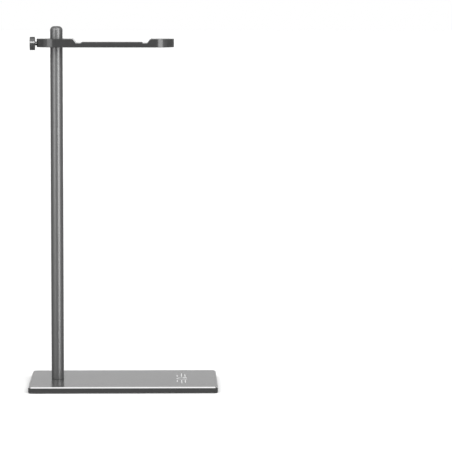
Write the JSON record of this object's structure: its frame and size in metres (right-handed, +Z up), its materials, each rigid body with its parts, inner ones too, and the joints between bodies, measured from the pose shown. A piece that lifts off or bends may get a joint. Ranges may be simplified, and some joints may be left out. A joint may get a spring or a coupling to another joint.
{
  "type": "headphone stand",
  "caption": "Desk stand for headphones: a flat rectangular base, a slim round pole and a horizontal arm with a padded saddle, clamped to the pole by a thumb screw.",
  "frame": {"origin": "on the table, under the middle of the base", "axes": "+Z up along the pole, +X from the pole towards the free end of the arm, +Y across the base"},
  "size_m": [0.16, 0.099, 0.3075],
  "materials": {
    "anodised_grey": "satin",
    "pole_grey": "satin",
    "arm_grey": "satin",
    "knob_grey": "satin",
    "silicone_black": "matte",
    "silicone_grey": "matte",
    "adhesive_film": "matte",
    "nylon_black": "matte",
    "zinc_steel": "satin",
    "stainless_steel": "satin",
    "black_steel": "satin",
    "printed_mark": "matte"
  },
  "bodies": {
    "root": {"base_plate": "anodised_grey", "base_pad": "silicone_black", "base_pad_film": "adhesive_film", "pole_screw": "zinc_steel", "foot_gasket": "nylon_black", "pole_tube": "pole_grey", "pole_foot_slug": "zinc_steel", "pole_cap": "pole_grey"},
    "sleeve": {"hub_sleeve": "nylon_black"},
    "arm": {"arm": "arm_grey", "stud_insert": "stainless_steel", "saddle_film": "adhesive_film", "saddle_pad": "silicone_grey"},
    "clamp_tip": {"clamp_pad": "nylon_black"},
    "clamp_screw": {"thumb_knob": "knob_grey", "thumb_stud": "black_steel"}
  },
  "joints": [
    {"name": "arm_height", "type": "slide", "parent": "root", "child": "sleeve", "axis": [0, 0, 1], "range_m": [-0.28, 0.007]},
    {"name": "arm_swivel", "type": "hinge", "parent": "sleeve", "child": "arm", "pos_m": [-0.0566, 0, 0.2934], "axis": [0, 0, 1], "continuous": true},
    {"name": "clamp_travel", "type": "slide", "parent": "arm", "child": "clamp_tip", "axis": [-1, 0, 0], "range_m": [0, 0.0035]},
    {"name": "clamp_turn", "type": "hinge", "parent": "clamp_tip", "child": "clamp_screw", "pos_m": [-0.0769, 0, 0.2928], "axis": [-1, 0, 0], "range_deg": [0, 1800]}
  ],
  "couplings": [
    {"joint": "clamp_turn", "follows": "clamp_travel", "rad_per_m": 8976}
  ]
}
